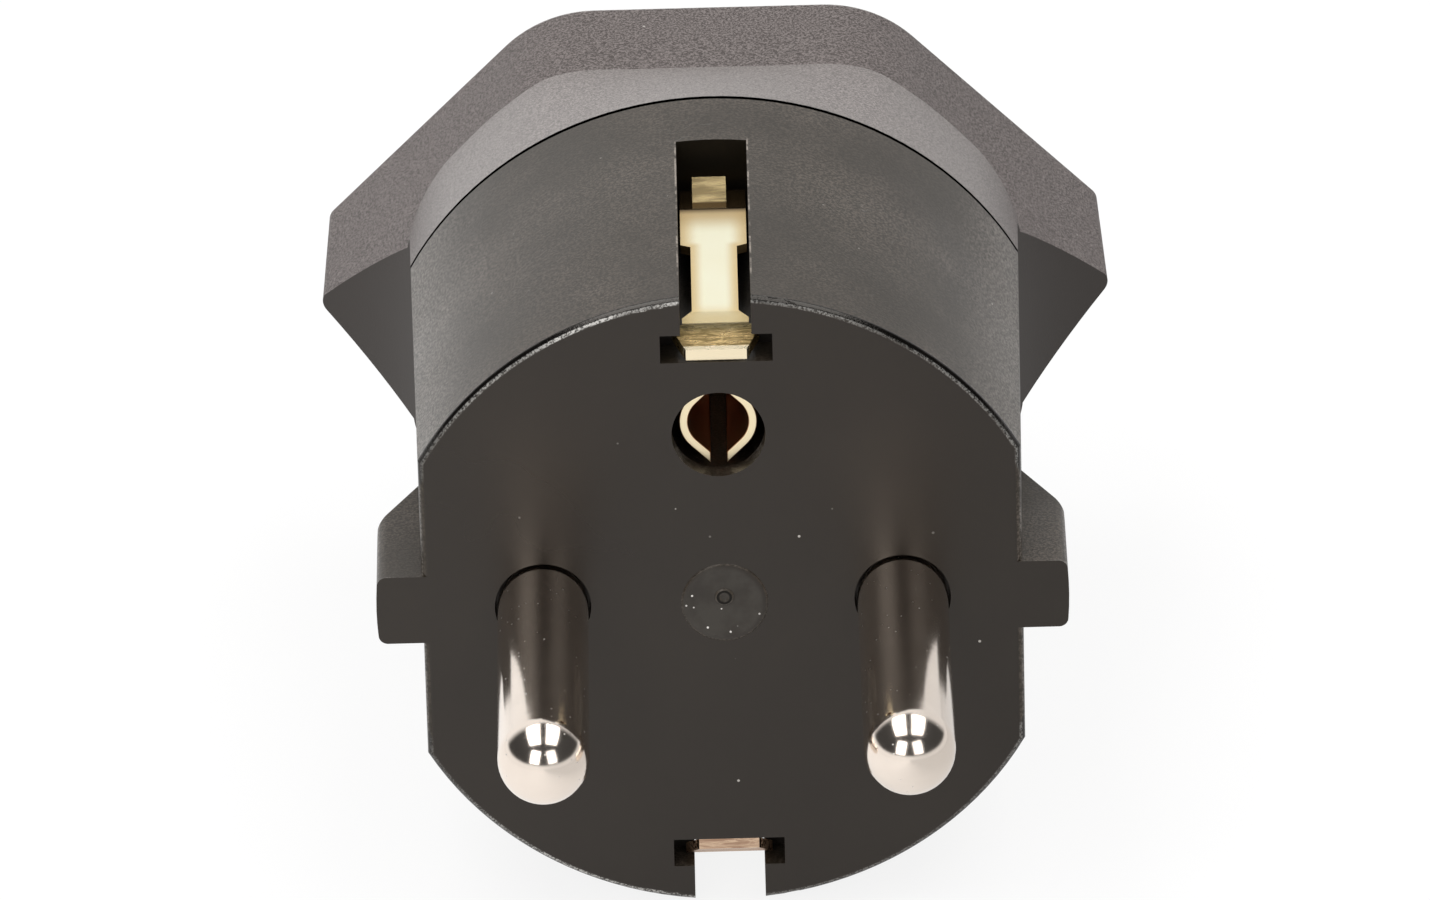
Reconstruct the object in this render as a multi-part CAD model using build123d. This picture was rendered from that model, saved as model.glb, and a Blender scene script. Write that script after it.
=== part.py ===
from build123d import *
import math
import os

os.makedirs("parts", exist_ok=True)

# Travel adapter with a two-pin earthed plug in front and a recessed three-hole socket behind.
# Millimetres. X is across the pins, Y runs from the plug face into the body, Z is up.
# The origin is the centre of the plug face, midway between the pins.

# Plug pins
pin_spacing = 19.0
pin_r = 2.4
pin_length = 19.0
pin_hole_clearance = 0.15
pin_ring_depth = 1.2
pin_shank_r = 2.1
pin_shank_clearance = 0.03
pin_seat_depth = 10.0
pin_flange_r = 3.5
pin_flange_thickness = 2.0
pin_neck_r = 1.5
rivet_head_height = 0.8
rivet_head_r = 1.95

# Front moulding
body_r = 18.1
body_flat = 15.85
body_length = 22.65
draft = 1.27
front_wall = 3.0
side_wall = 2.2
flat_wall = 1.8
face_edge_radius = 0.4

# Guide ribs on the flats
rib_r = 18.3
rib_width = 3.95
rib_full_length = 6.1
rib_run_out = 4.7
rib_corner_radius = 0.5

# Earth clip slots, top and bottom
slot_width = 3.75
slot_length = 17.7
slot_depth = 3.82
slot_block_wall = 2.2
slot_block_floor = 1.6
t_bar_width = 5.9
t_bar_height = 1.6
t_bar_depth = 2.2
slot_end_wall = 1.5

# Round earth contact hole above the pins
earth_hole_height = 10.0
earth_hole_r = 2.47
earth_hole_lip = 1.0
earth_chamber_r = 3.1
earth_chamber_wall = 1.2
boss_wall = 1.5

# Joint between the two mouldings
lap_length = 2.4
lap_rim = 1.15
lap_clearance = 0.12
snap_height = 0.3
snap_length = 0.8
snap_width = 10.0
snap_setback = 0.9
joint_groove_width = 0.13
joint_groove_depth = 0.4

# Rear moulding
total_length = 46.6
collar_half_height = 12.38
collar_tip = 21.55
collar_draft = 1.1
collar_front = 38.5
collar_corner_radius = 7.0
collar_tip_radius = 0.7
rear_edge_radius = 0.5
flare_start = 31.85
flare_radius = 18.0
flare_angle = 38.5
shoulder_corner_x = 14.0
shoulder_corner = 2.7
shoulder_lead = 0.5
shoulder_columns = 6
shoulder_lead_in = 0.05
shoulder_run_out = 1.08
inner_wall = 2.3

# Socket in the rear moulding
recess_half_width = 18.2
recess_half_height = 9.0
recess_depth = 10.0
recess_corner_radius = 1.5
recess_tip_radius = 0.8
floor_thickness = 2.0
socket_hole_r = 2.35
socket_pin_length = 19.0
socket_pin_end_gap = 0.3
socket_earth_offset = 5.0
tube_wall = 0.75
tube_clearance = 0.6

# Contact sleeves
sleeve_bore_r = 2.05
sleeve_r = 2.9
sleeve_flange_r = 4.1
sleeve_base = 1.5
sleeve_mouth_gap = 0.4
sleeve_slot_width = 0.8
sleeve_slot_length = 12.0
sleeve_spring_thickness = 0.4
sleeve_spring_length = 2.5
sleeve_spring_setback = 1.4
sleeve_spring_gap = 1.2

# Contact carrier
carrier_thickness = 2.5
carrier_clearance = 0.2

# Earth strip, clips and leaf contact
strip_thickness = 0.8
strip_width = 5.6
strip_end_gap = 2.3
strip_corner_radius = 0.6
clip_thickness = 0.5
clip_width = 3.5
clip_setback = 1.6
clip_front_gap = 0.15
clip_floor_gap = 0.05
clip_nose_length = 1.04
clip_nose_rise = 0.79
clip_ramp_length = 1.3
clip_ramp_rise = 0.25
clip_ramp_end = 7.0
clip_sag = 0.1
clip_bow_radius = 4.0
clip_nose_radius = 0.5
clip_waist = 2.45
clip_waist_start = 1.95
clip_waist_end = 9.4
clip_waist_front = 0.6
clip_waist_rear = 0.25
clip_wing_width = 4.6
clip_wing_start = 0.95
clip_wing_end = 1.4
clip_tip_width = 3.2
clip_step_start = 13.6
clip_step_length = 0.9
clip_step_drop = 0.5
clip_bend_radius = 0.35
clip_tongue_width = 1.8
clip_tongue_offset = -0.17
clip_tongue_start = 14.1
clip_tongue_length = 2.2
clip_tongue_rise = 0.75
clip_leg_width = 3.4
clip_leg_margin = 0.1
clip_leg_overlap = 0.2
leg_pocket_side = 0.8
leg_pocket_gap = 0.4
leaf_thickness = 0.47
leaf_tip_half_width = 2.06
leaf_side_radius = 1.04
leaf_blend_angle = 30.0
leaf_r = 2.9
leaf_gap = 0.85
leaf_lip_gap = 0.1
leaf_taper_length = 10.0
leaf_base_thickness = 0.6
leaf_slot_setback = 1.0
earth_rivet_r = 0.8
earth_rivet_head_r = 1.5
earth_rivet_head = 0.6
earth_spigot_r = 1.3
earth_spigot_head_r = 1.9
earth_spigot_head = 0.6

# Derived places
pin_x = pin_spacing / 2
spread = math.tan(math.radians(draft))
joint_r = body_r + body_length * spread
joint_flat = body_flat + body_length * spread
cavity_r = body_r - side_wall
cavity_flat = body_flat - flat_wall
slot_floor = body_r - slot_depth
clip_top = body_r - clip_setback
strip_end = cavity_r - strip_end_gap
flange_end = pin_seat_depth + pin_flange_thickness
carrier_front = flange_end + sleeve_base
carrier_rear = carrier_front + carrier_thickness
strip_rear = carrier_rear + strip_thickness
leg_rear = strip_rear + clip_thickness
block_end = carrier_rear - carrier_clearance
block_bottom = slot_floor - slot_block_floor
recess_floor = total_length - recess_depth
floor_under = recess_floor - floor_thickness
sleeve_mouth = floor_under - sleeve_mouth_gap
tube_inner_r = sleeve_r + tube_clearance
tube_outer_r = tube_inner_r + tube_wall
leg_end = earth_hole_height - earth_rivet_head_r - clip_leg_margin
SIDES = (-1, 1)


def across(y):
    """Plane across the body at depth y; its second axis points down."""
    return Plane(origin=(0, y, 0), x_dir=(1, 0, 0), z_dir=(0, 1, 0))


def rod(r, x, z, y0, y1):
    """Round bar along Y."""
    bar = Cylinder(r, y1 - y0, align=(Align.CENTER, Align.CENTER, Align.MIN))
    return Pos(x, y0, z) * Rot(-90, 0, 0) * bar


def block(x0, x1, y0, y1, z0, z1):
    """Box between six planes."""
    return Pos((x0 + x1) / 2, (y0 + y1) / 2, (z0 + z1) / 2) * Box(x1 - x0, y1 - y0, z1 - z0)


def upright(face, z0, z1):
    """Prism on a plan outline, between two heights."""
    return extrude(Plane.XY.offset(z0) * face, amount=z1 - z0, dir=(0, 0, 1))


def flatted_disc(r, flat):
    """Circle with two flats, the plug's cross section."""
    return Circle(r) & Rectangle(2 * flat, 3 * r)


def flatted_bar(r, flat, y0, y1):
    return extrude(across(y0) * flatted_disc(r, flat), amount=y1 - y0)


def sharp_hexagon(half_height, tip):
    """Flat-topped hexagon with 45 degree flanks."""
    knee = tip - half_height
    return Polygon(
        (-knee, half_height),
        (-tip, 0),
        (-knee, -half_height),
        (knee, -half_height),
        (tip, 0),
        (knee, half_height),
        align=None,
    )


def hexagon(half_height, tip, corner_radius, tip_radius):
    """The same hexagon with rounded corners."""
    outline = sharp_hexagon(half_height, tip)
    knees = [v for v in outline.vertices() if abs(v.Y) > 0.01]
    outline = fillet(knees, corner_radius)
    tips = [v for v in outline.vertices() if abs(v.Y) < 0.01]
    return fillet(tips, tip_radius)


def collar_height(x, y, inset):
    """Height of the collar's outline at distance x from the middle, at depth y."""
    grown = (total_length - y) * math.tan(math.radians(collar_draft)) - inset
    half_height = collar_half_height + grown
    tip = collar_tip + grown * math.sqrt(2)
    radius = collar_corner_radius - inset
    reach = radius * math.tan(math.radians(22.5))
    top_end = tip - half_height - reach
    slope_start = tip - half_height + reach * math.sqrt(0.5)
    if x <= top_end:
        return half_height
    if x < slope_start:
        return half_height - radius + math.sqrt(radius**2 - (x - top_end) ** 2)
    return tip - x


def shoulder(inset):
    """Shoulder over the collar: straight lines from the round joint to a curve on the collar."""
    r = joint_r - inset
    front_y = flare_start - shoulder_lead
    width = min(joint_flat - inset + 1, r)
    places = []
    for i in range(shoulder_columns + 1):
        x = shoulder_corner_x * i / shoulder_columns
        places.append((x, collar_front, x / shoulder_corner))
    for degrees in (12, 24, 36, 48, 60, 70, 79, 86):
        a = math.radians(degrees)
        x = shoulder_corner_x + shoulder_corner * math.sin(a)
        y = front_y + (collar_front - front_y) * math.cos(a)
        if x < width:
            places.append((x, y, shoulder_corner_x / shoulder_corner + a))
    half = [(-x, y, -s) for x, y, s in places[:0:-1]] + places
    outer = []
    inner = []
    for x, y, s in half:
        a = Vector(x, body_length, math.sqrt(r**2 - x**2))
        b = Vector(x, y, collar_height(abs(x), y, inset))
        outer.append(a - (b - a) * shoulder_lead_in)
        inner.append(a + (b - a) * shoulder_run_out)
    steps = [s - half[0][2] for x, y, s in half]
    steps = [s / steps[-1] for s in steps]
    front_edge = Edge.make_spline(outer, parameters=steps)
    back_edge = Edge.make_spline(inner, parameters=steps)
    skin = Face.make_surface_from_curves(front_edge, back_edge)
    span = 2 * joint_r
    wedge = extrude(skin, amount=span, dir=(0, 0, -1))
    wedge = wedge & block(-span, span, body_length, total_length, 0, span)
    return wedge + mirror(wedge, about=Plane.XY)


def collar_form(inset):
    """Drafted hexagonal collar, set in by a wall, carried forward to the joint."""
    tip = collar_tip - inset * math.sqrt(2)
    outline = sharp_hexagon(collar_half_height - inset, tip)
    length = total_length - body_length
    form = extrude(Plane.XZ.offset(-total_length) * outline, amount=length, taper=-collar_draft)
    edges = [e for e in form.edges() if abs(e.tangent_at(0.5).Y) > 0.9]
    knees = [e for e in edges if abs(e.center().Z) > 1]
    form = fillet(knees, collar_corner_radius - inset)
    edges = [e for e in form.edges() if abs(e.tangent_at(0.5).Y) > 0.9]
    tips = [e for e in edges if abs(e.center().Z) < 0.1]
    return fillet(tips, collar_tip_radius)


def plan_form():
    """Outline of the rear moulding seen from above: flats, concave flares, collar."""
    flat_end = body_flat + flare_start * spread
    a = math.radians(flare_angle)
    cx = flat_end + flare_radius * math.cos(a)
    cy = flare_start - flare_radius * math.sin(a)
    end_x = collar_tip + 1
    end_y = cy + math.sqrt(flare_radius**2 - (end_x - cx) ** 2)
    mid_x = (flat_end + end_x) / 2
    mid_y = cy + math.sqrt(flare_radius**2 - (mid_x - cx) ** 2)
    right = [
        Line((0, body_length), (joint_flat, body_length)),
        Line((joint_flat, body_length), (flat_end, flare_start)),
        ThreePointArc((flat_end, flare_start), (mid_x, mid_y), (end_x, end_y)),
        Line((end_x, end_y), (end_x, total_length)),
        Line((end_x, total_length), (0, total_length)),
    ]
    left = [mirror(edge, about=Plane.YZ) for edge in right]
    outline = make_face(Curve() + right + left)
    return upright(outline, -2 * joint_r, 2 * joint_r)


def guide_rib(side):
    """Rib on the flat that slides in the socket's guide groove."""
    root_x = body_flat - flat_wall / 2
    run_out_x = body_flat - flat_wall / 4
    slope = rib_run_out / (rib_r - body_flat)
    over = rib_corner_radius / 2
    end_y = rib_full_length + slope * (rib_r - run_out_x)
    plan = Polygon(
        (side * root_x, 0),
        (side * (rib_r + over), 0),
        (side * (rib_r + over), rib_full_length - slope * over),
        (side * run_out_x, end_y),
        (side * root_x, end_y),
        align=None,
    )
    bar = upright(plan, -rib_width / 2, rib_width / 2)
    bar = bar & rod(rib_r, 0, 0, 0, end_y)
    corners = bar.edges().filter_by(Axis.Y).sort_by(lambda e: -abs(e.center().X))[:2]
    return fillet(corners, rib_corner_radius)


def front_form():
    """Tapered round body with two tapered flats."""
    height = body_length
    cone = Cone(body_r, joint_r, height, align=(Align.CENTER, Align.CENTER, Align.MIN))
    plan = Polygon(
        (-body_flat, 0),
        (body_flat, 0),
        (joint_flat, height),
        (-joint_flat, height),
        align=None,
    )
    return Rot(-90, 0, 0) * cone & upright(plan, -2 * joint_r, 2 * joint_r)


def make_plug_body():
    outer = front_form()
    outer = fillet(outer.faces().sort_by(Axis.Y)[0].edges(), face_edge_radius)
    cavity = flatted_bar(cavity_r, cavity_flat, front_wall, body_length + 1)
    rebate = flatted_bar(joint_r - lap_rim, joint_flat - lap_rim, body_length - lap_length, body_length + 1)
    body = outer - cavity - rebate
    for side in SIDES:
        body += guide_rib(side)
        body += rod(pin_flange_r + boss_wall, side * pin_x, 0, front_wall - 0.5, flange_end)
        groove = snap_ridge(side, lap_clearance)
        body -= groove
    chamber_wall_r = earth_chamber_r + earth_chamber_wall
    body += rod(chamber_wall_r, 0, earth_hole_height, front_wall - 0.5, carrier_front - carrier_clearance)
    half = slot_width / 2 + slot_block_wall
    for side in SIDES:
        z0, z1 = sorted((side * block_bottom, side * (cavity_r + 0.4)))
        body += block(-half, half, front_wall - 0.5, block_end, z0, z1)
        body += block(-half, half, slot_length, slot_length + slot_end_wall, z0, z1)
    for side in SIDES:
        z0, z1 = sorted((side * slot_floor, side * (body_r + 2)))
        body -= block(-slot_width / 2, slot_width / 2, -1, slot_length, z0, z1)
        z0, z1 = sorted((side * slot_floor, side * (slot_floor + t_bar_height)))
        body -= block(-t_bar_width / 2, t_bar_width / 2, -1, t_bar_depth, z0, z1)
        body -= rod(pin_r + pin_hole_clearance, side * pin_x, 0, -1, pin_ring_depth)
        body -= rod(pin_shank_r + pin_shank_clearance, side * pin_x, 0, -1, flange_end + 1)
        body -= rod(pin_flange_r + pin_hole_clearance, side * pin_x, 0, pin_seat_depth, flange_end + 1)
    body -= rod(earth_hole_r, 0, earth_hole_height, -1, front_wall)
    body -= rod(earth_chamber_r, 0, earth_hole_height, earth_hole_lip, carrier_rear)
    return body


def snap_ridge(side, grow):
    """Snap ridge on the lap's flat, or with grow the groove that takes it."""
    face_x = joint_flat - lap_rim - lap_clearance
    y1 = body_length - snap_setback + grow
    y0 = y1 - snap_length - 2 * grow
    x0, x1 = sorted((side * (face_x - 0.3), side * (face_x + snap_height + grow)))
    return block(x0, x1, y0, y1, -snap_width / 2 - grow, snap_width / 2 + grow)


def make_socket_housing():
    form = collar_form(0)
    form = fillet(form.faces().sort_by(Axis.Y)[-1].edges(), rear_edge_radius)
    form = form + shoulder(0)
    form = form & plan_form()
    groove_end = body_length + joint_groove_width
    groove = flatted_bar(2 * joint_r, 2 * joint_r, body_length - 1, groove_end)
    groove -= flatted_bar(
        joint_r - joint_groove_depth, joint_flat - joint_groove_depth, body_length - 1, groove_end
    )
    form -= groove
    chamber = (collar_form(inner_wall) + shoulder(inner_wall)) & block(
        -cavity_flat, cavity_flat, body_length - 1, floor_under, -joint_r, joint_r
    )
    chamber = chamber & rod(cavity_r, 0, 0, body_length - 1, floor_under)
    form -= chamber
    lap_outer = flatted_disc(joint_r - lap_rim - lap_clearance, joint_flat - lap_rim - lap_clearance)
    lap = extrude(
        across(body_length - lap_length + lap_clearance) * (lap_outer - flatted_disc(cavity_r, cavity_flat)),
        amount=lap_length - lap_clearance,
    )
    form += lap
    for side in SIDES:
        form += snap_ridge(side, 0)
        form += rod(tube_outer_r, side * pin_x, 0, carrier_rear, floor_under + 0.5)
    form += rod(tube_outer_r, 0, socket_earth_offset, strip_rear, floor_under + 0.5)
    form -= block(
        -clip_leg_width / 2 - leg_pocket_side,
        clip_leg_width / 2 + leg_pocket_side,
        strip_rear - 1,
        leg_rear + earth_rivet_head + leg_pocket_gap,
        leg_end - leg_pocket_gap,
        joint_r,
    )
    for side in SIDES:
        form -= rod(tube_inner_r, side * pin_x, 0, carrier_rear - 1, floor_under)
        form -= rod(socket_hole_r, side * pin_x, 0, floor_under - 1, recess_floor + 1)
    form -= rod(tube_inner_r, 0, socket_earth_offset, strip_rear - 1, floor_under)
    form -= rod(socket_hole_r, 0, socket_earth_offset, floor_under - 1, recess_floor + 1)
    recess = hexagon(recess_half_height, recess_half_width, recess_corner_radius, recess_tip_radius)
    form -= extrude(across(recess_floor) * recess, amount=recess_depth + 1)
    return form


def make_plug_pin(side):
    x = side * pin_x
    pin = rod(pin_r, x, 0, pin_r - pin_length, 0)
    pin += rod(pin_shank_r, x, 0, 0, pin_seat_depth)
    pin += Pos(x, pin_r - pin_length, 0) * Sphere(pin_r)
    pin += rod(pin_flange_r, x, 0, pin_seat_depth, flange_end)
    pin += rod(pin_neck_r, x, 0, flange_end, carrier_front)
    head = rod(rivet_head_r, x, 0, carrier_front, carrier_front + rivet_head_height)
    head = chamfer(head.edges().sort_by(Axis.Y)[-1:], rivet_head_height / 2)
    return pin + head


def slotted_sleeve(x, z, base_start, base_end):
    """Turned contact sleeve, slotted into four fingers at its mouth."""
    sleeve = rod(sleeve_r, x, z, base_start, sleeve_mouth)
    sleeve -= rod(sleeve_bore_r, x, z, base_end, sleeve_mouth + 1)
    y0 = sleeve_mouth - sleeve_slot_length
    w = sleeve_slot_width / 2
    sleeve -= block(x - w, x + w, y0, sleeve_mouth + 1, z - sleeve_r - 1, z + sleeve_r + 1)
    sleeve -= block(x - sleeve_r - 1, x + sleeve_r + 1, y0, sleeve_mouth + 1, z - w, z + w)
    return sleeve


def make_contact_sleeve(side):
    x = side * pin_x
    sleeve = slotted_sleeve(x, 0, flange_end, carrier_front)
    sleeve += rod(sleeve_flange_r, x, 0, flange_end, carrier_front)
    sleeve -= rod(pin_neck_r, x, 0, flange_end - 1, carrier_front + 1)
    return sleeve


def make_earth_sleeve():
    z = socket_earth_offset
    bore_start = recess_floor - socket_pin_length - socket_pin_end_gap
    sleeve = slotted_sleeve(0, z, strip_rear, bore_start)
    sleeve += rod(earth_spigot_r, 0, z, carrier_rear, strip_rear)
    head = rod(earth_spigot_head_r, 0, z, carrier_rear - earth_spigot_head, carrier_rear)
    head = chamfer(head.edges().sort_by(Axis.Y)[:1], earth_spigot_head / 2)
    return sleeve + head


def make_sleeve_spring(x, z):
    """Open spring ring that keeps the sleeve's fingers closed."""
    y1 = sleeve_mouth - sleeve_spring_setback
    y0 = y1 - sleeve_spring_length
    ring = rod(sleeve_r + sleeve_spring_thickness, x, z, y0, y1)
    ring -= rod(sleeve_r, x, z, y0 - 1, y1 + 1)
    g = sleeve_spring_gap / 2
    # The gap stands at 45 degrees, between two of the sleeve's slots.
    gap = Pos(x, (y0 + y1) / 2, z) * Rot(0, 45, 0) * Pos(sleeve_r, 0, 0) * Box(sleeve_r, y1 - y0 + 2, 2 * g)
    return ring - gap


def make_contact_carrier():
    r = cavity_r - carrier_clearance
    flat = cavity_flat - carrier_clearance
    plate = flatted_bar(r, flat, carrier_front, carrier_rear)
    half = slot_width / 2 + slot_block_wall + carrier_clearance
    for side in SIDES:
        z0, z1 = sorted((side * (block_bottom - carrier_clearance), side * (cavity_r + 1)))
        plate -= block(-half, half, carrier_front - 1, carrier_rear + 1, z0, z1)
        plate -= rod(sleeve_r + pin_hole_clearance, side * pin_x, 0, carrier_front - 1, carrier_rear + 1)
    plate -= rod(leaf_r + carrier_clearance, 0, earth_hole_height, carrier_front - 1, carrier_rear + 1)
    head_floor = carrier_rear - max(earth_spigot_head, earth_rivet_head) - carrier_clearance
    spigot_r = earth_spigot_head_r + carrier_clearance
    rivet_r = earth_rivet_head_r + carrier_clearance
    plate -= rod(spigot_r, 0, socket_earth_offset, head_floor, carrier_rear + 1)
    plate -= rod(rivet_r, 0, -earth_hole_height, head_floor, carrier_rear + 1)
    return plate


def make_cross_strip():
    strip = block(-strip_width / 2, strip_width / 2, carrier_rear, strip_rear, -strip_end, strip_end)
    strip = fillet(strip.edges().filter_by(Axis.Y), strip_corner_radius)
    for z in (-earth_hole_height, earth_hole_height):
        strip -= rod(earth_rivet_r, 0, z, carrier_rear - 1, strip_rear + 1)
    return strip - rod(earth_spigot_r, 0, socket_earth_offset, carrier_rear - 1, strip_rear + 1)


def folded_face(points, thickness, radii):
    """Face between a bent line and its copy one thickness further in."""
    inner = []
    count = len(points)
    for i, (y, z) in enumerate(points):
        before = points[max(i - 1, 0)]
        after = points[min(i + 1, count - 1)]
        n0 = side_normal(before, (y, z)) if i > 0 else side_normal((y, z), after)
        n1 = side_normal((y, z), after) if i < count - 1 else n0
        bisector = (n0[0] + n1[0], n0[1] + n1[1])
        scale = thickness * 2 / (bisector[0] ** 2 + bisector[1] ** 2)
        inner.append((y + bisector[0] * scale, z + bisector[1] * scale))
    outer_radii = [r + thickness if turn < 0 else r for r, turn in zip(radii, turns(points))]
    inner_radii = [r if turn < 0 else r + thickness for r, turn in zip(radii, turns(points))]
    if radii:
        outer_line = FilletPolyline(*points, radius=outer_radii)
        inner_line = FilletPolyline(*inner, radius=inner_radii)
    else:
        outer_line = Polyline(*points)
        inner_line = Polyline(*inner)
    ends = [Line(points[0], inner[0]), Line(points[-1], inner[-1])]
    return make_face(Curve() + [outer_line, inner_line] + ends)


def side_normal(a, b):
    """Unit normal on the right of the way from a to b."""
    dy = b[0] - a[0]
    dz = b[1] - a[1]
    length = math.hypot(dy, dz)
    return (dz / length, -dy / length)


def turns(points):
    """Sign of each bend, negative where the line turns to its right."""
    found = []
    for a, b, c in zip(points, points[1:], points[2:]):
        cross = (b[0] - a[0]) * (c[1] - b[1]) - (b[1] - a[1]) * (c[0] - b[0])
        found.append(1 if cross > 0 else -1)
    return found


def make_earth_clip(side):
    """Side clip: nose and wings in the T slot, waisted spring strip, raised tongue, riveted leg."""
    front = clip_front_gap
    nose_angle = math.atan2(clip_nose_rise, clip_nose_length)
    nose_z = slot_floor + clip_floor_gap + clip_thickness / math.cos(nose_angle)
    bend = (front + clip_nose_length, nose_z + clip_nose_rise)
    ramp = (bend[0] + clip_ramp_length, bend[1] + clip_ramp_rise)
    step_end = clip_step_start + clip_step_length
    low = clip_top - clip_step_drop
    points = [
        (front - clip_nose_length / 2, nose_z - clip_nose_rise / 2),
        bend,
        ramp,
        (clip_ramp_end, clip_top - clip_sag),
        (clip_step_start, clip_top),
        (step_end, low),
        (leg_rear, low),
        (leg_rear, leg_end),
    ]
    r = clip_bend_radius
    radii = [clip_nose_radius, clip_nose_radius, clip_bow_radius, r, r, r]
    profile = folded_face(points, clip_thickness, radii)
    sheet = extrude(Plane.YZ.offset(-clip_wing_width / 2) * profile, amount=clip_wing_width)
    half = clip_width / 2
    wing = clip_wing_width / 2
    tip = clip_tip_width / 2
    waist = clip_waist / 2
    right = [
        (tip, front),
        (wing, front + clip_wing_start),
        (wing, clip_wing_end),
        (half, clip_wing_end),
        (half, clip_waist_start),
        (waist, clip_waist_start + clip_waist_front),
        (waist, clip_waist_end - clip_waist_rear),
        (half, clip_waist_end),
        (half, leg_rear + 1),
    ]
    left = [(-x, y) for x, y in right]
    blank = Polygon(*left, *right[::-1], align=None)
    leg_top = block_bottom + clip_leg_overlap
    upper = upright(blank, leg_top, body_r)
    leg_half = clip_leg_width / 2
    leg = block(-leg_half, leg_half, strip_rear - 0.05, leg_rear + 1, leg_end - 1, leg_top)
    clip = sheet & (upper + leg)
    x0 = clip_tongue_offset - clip_tongue_width / 2
    x1 = clip_tongue_offset + clip_tongue_width / 2
    y1 = clip_tongue_start + clip_tongue_length
    drop = clip_step_drop * (clip_tongue_start - clip_step_start) / clip_step_length
    base = (clip_tongue_start, clip_top - drop)
    end = (y1, base[1] + clip_tongue_rise)
    side_face = folded_face([base, end], clip_thickness, [])
    window = clip_thickness / 2
    clip -= block(x0, x1, step_end, y1 - window, low - 2 * clip_thickness, low + 1)
    clip += extrude(Plane.YZ.offset(x0) * side_face, amount=x1 - x0)
    clip -= rod(earth_rivet_r, 0, earth_hole_height, strip_rear - 1, leg_rear + 1)
    return clip if side > 0 else mirror(clip, about=Plane.XY)


def leaf_form(inset):
    """Tube pressed at its mouth to a diamond with round sides, outer or inner wall."""
    r = leaf_r - inset
    half_width = leaf_tip_half_width - inset
    side_r = leaf_side_radius - inset
    corner = half_width + side_r * (math.sqrt(2) - 1)
    sx = corner - side_r * math.sqrt(0.5)
    sz = side_r * math.sqrt(0.5)
    mouth = Wire([
        ThreePointArc((sx, -sz), (half_width, 0), (sx, sz)),
        Line((sx, sz), (0, corner)),
        Line((0, corner), (-sx, sz)),
        ThreePointArc((-sx, sz), (-half_width, 0), (-sx, -sz)),
        Line((-sx, -sz), (0, -corner)),
        Line((0, -corner), (sx, -sz)),
    ])
    b = leaf_blend_angle
    stations = [-b, b, 90, 180 - b, 180 + b, 270, 360 - b]
    round_end = Wire([CenterArc((0, 0), r, a, c - a) for a, c in zip(stations, stations[1:])])
    y0 = earth_hole_lip + leaf_lip_gap
    y1 = y0 + leaf_taper_length
    form = loft([across(y0) * Face(mouth), across(y1) * Face(round_end)], ruled=True)
    return form + rod(r, 0, 0, y1, carrier_rear - inset * leaf_base_thickness / leaf_thickness)


def make_leaf_contact():
    """Two curved leaves that close in to a narrow mouth, on one riveted base."""
    z = earth_hole_height
    cup = leaf_form(0) - leaf_form(leaf_thickness)
    g = leaf_gap / 2
    y2 = carrier_rear - leaf_base_thickness
    cup -= block(-g, g, 0, y2 - leaf_slot_setback, -leaf_r - 1, leaf_r + 1)
    cup = Pos(0, 0, z) * cup
    return cup - rod(earth_rivet_r, 0, z, 0, carrier_rear + 1)


def make_earth_rivet(z, head_start, head_end, tail_start):
    rivet = rod(earth_rivet_r, 0, z, head_end, tail_start)
    head = rod(earth_rivet_head_r, 0, z, head_start, head_end)
    head = chamfer(head.edges().sort_by(Axis.Y)[:1], earth_rivet_head / 2)
    tail = rod(earth_rivet_head_r, 0, z, tail_start, tail_start + earth_rivet_head)
    tail = chamfer(tail.edges().sort_by(Axis.Y)[-1:], earth_rivet_head / 2)
    return rivet + head + tail


leaf_floor = carrier_rear - leaf_base_thickness
nodes = {
    "plug_body": make_plug_body(),
    "socket_housing": make_socket_housing(),
    "contact_carrier": make_contact_carrier(),
    "left_plug_pin": make_plug_pin(-1),
    "right_plug_pin": make_plug_pin(1),
    "left_contact_sleeve": make_contact_sleeve(-1),
    "right_contact_sleeve": make_contact_sleeve(1),
    "left_sleeve_spring": make_sleeve_spring(-pin_x, 0),
    "right_sleeve_spring": make_sleeve_spring(pin_x, 0),
    "earth_contact_sleeve": make_earth_sleeve(),
    "earth_sleeve_spring": make_sleeve_spring(0, socket_earth_offset),
    "earth_cross_strip": make_cross_strip(),
    "upper_earth_clip": make_earth_clip(1),
    "lower_earth_clip": make_earth_clip(-1),
    "earth_leaf_contact": make_leaf_contact(),
    "upper_earth_rivet": make_earth_rivet(
        earth_hole_height, leaf_floor - earth_rivet_head, leaf_floor, leg_rear
    ),
    "lower_earth_rivet": make_earth_rivet(
        -earth_hole_height, carrier_rear - earth_rivet_head, carrier_rear, leg_rear
    ),
}

for name, shape in nodes.items():
    export_step(shape, f"parts/{name}.step")
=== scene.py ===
import math

import bpy
import bmesh
from mathutils import Matrix, Vector


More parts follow.
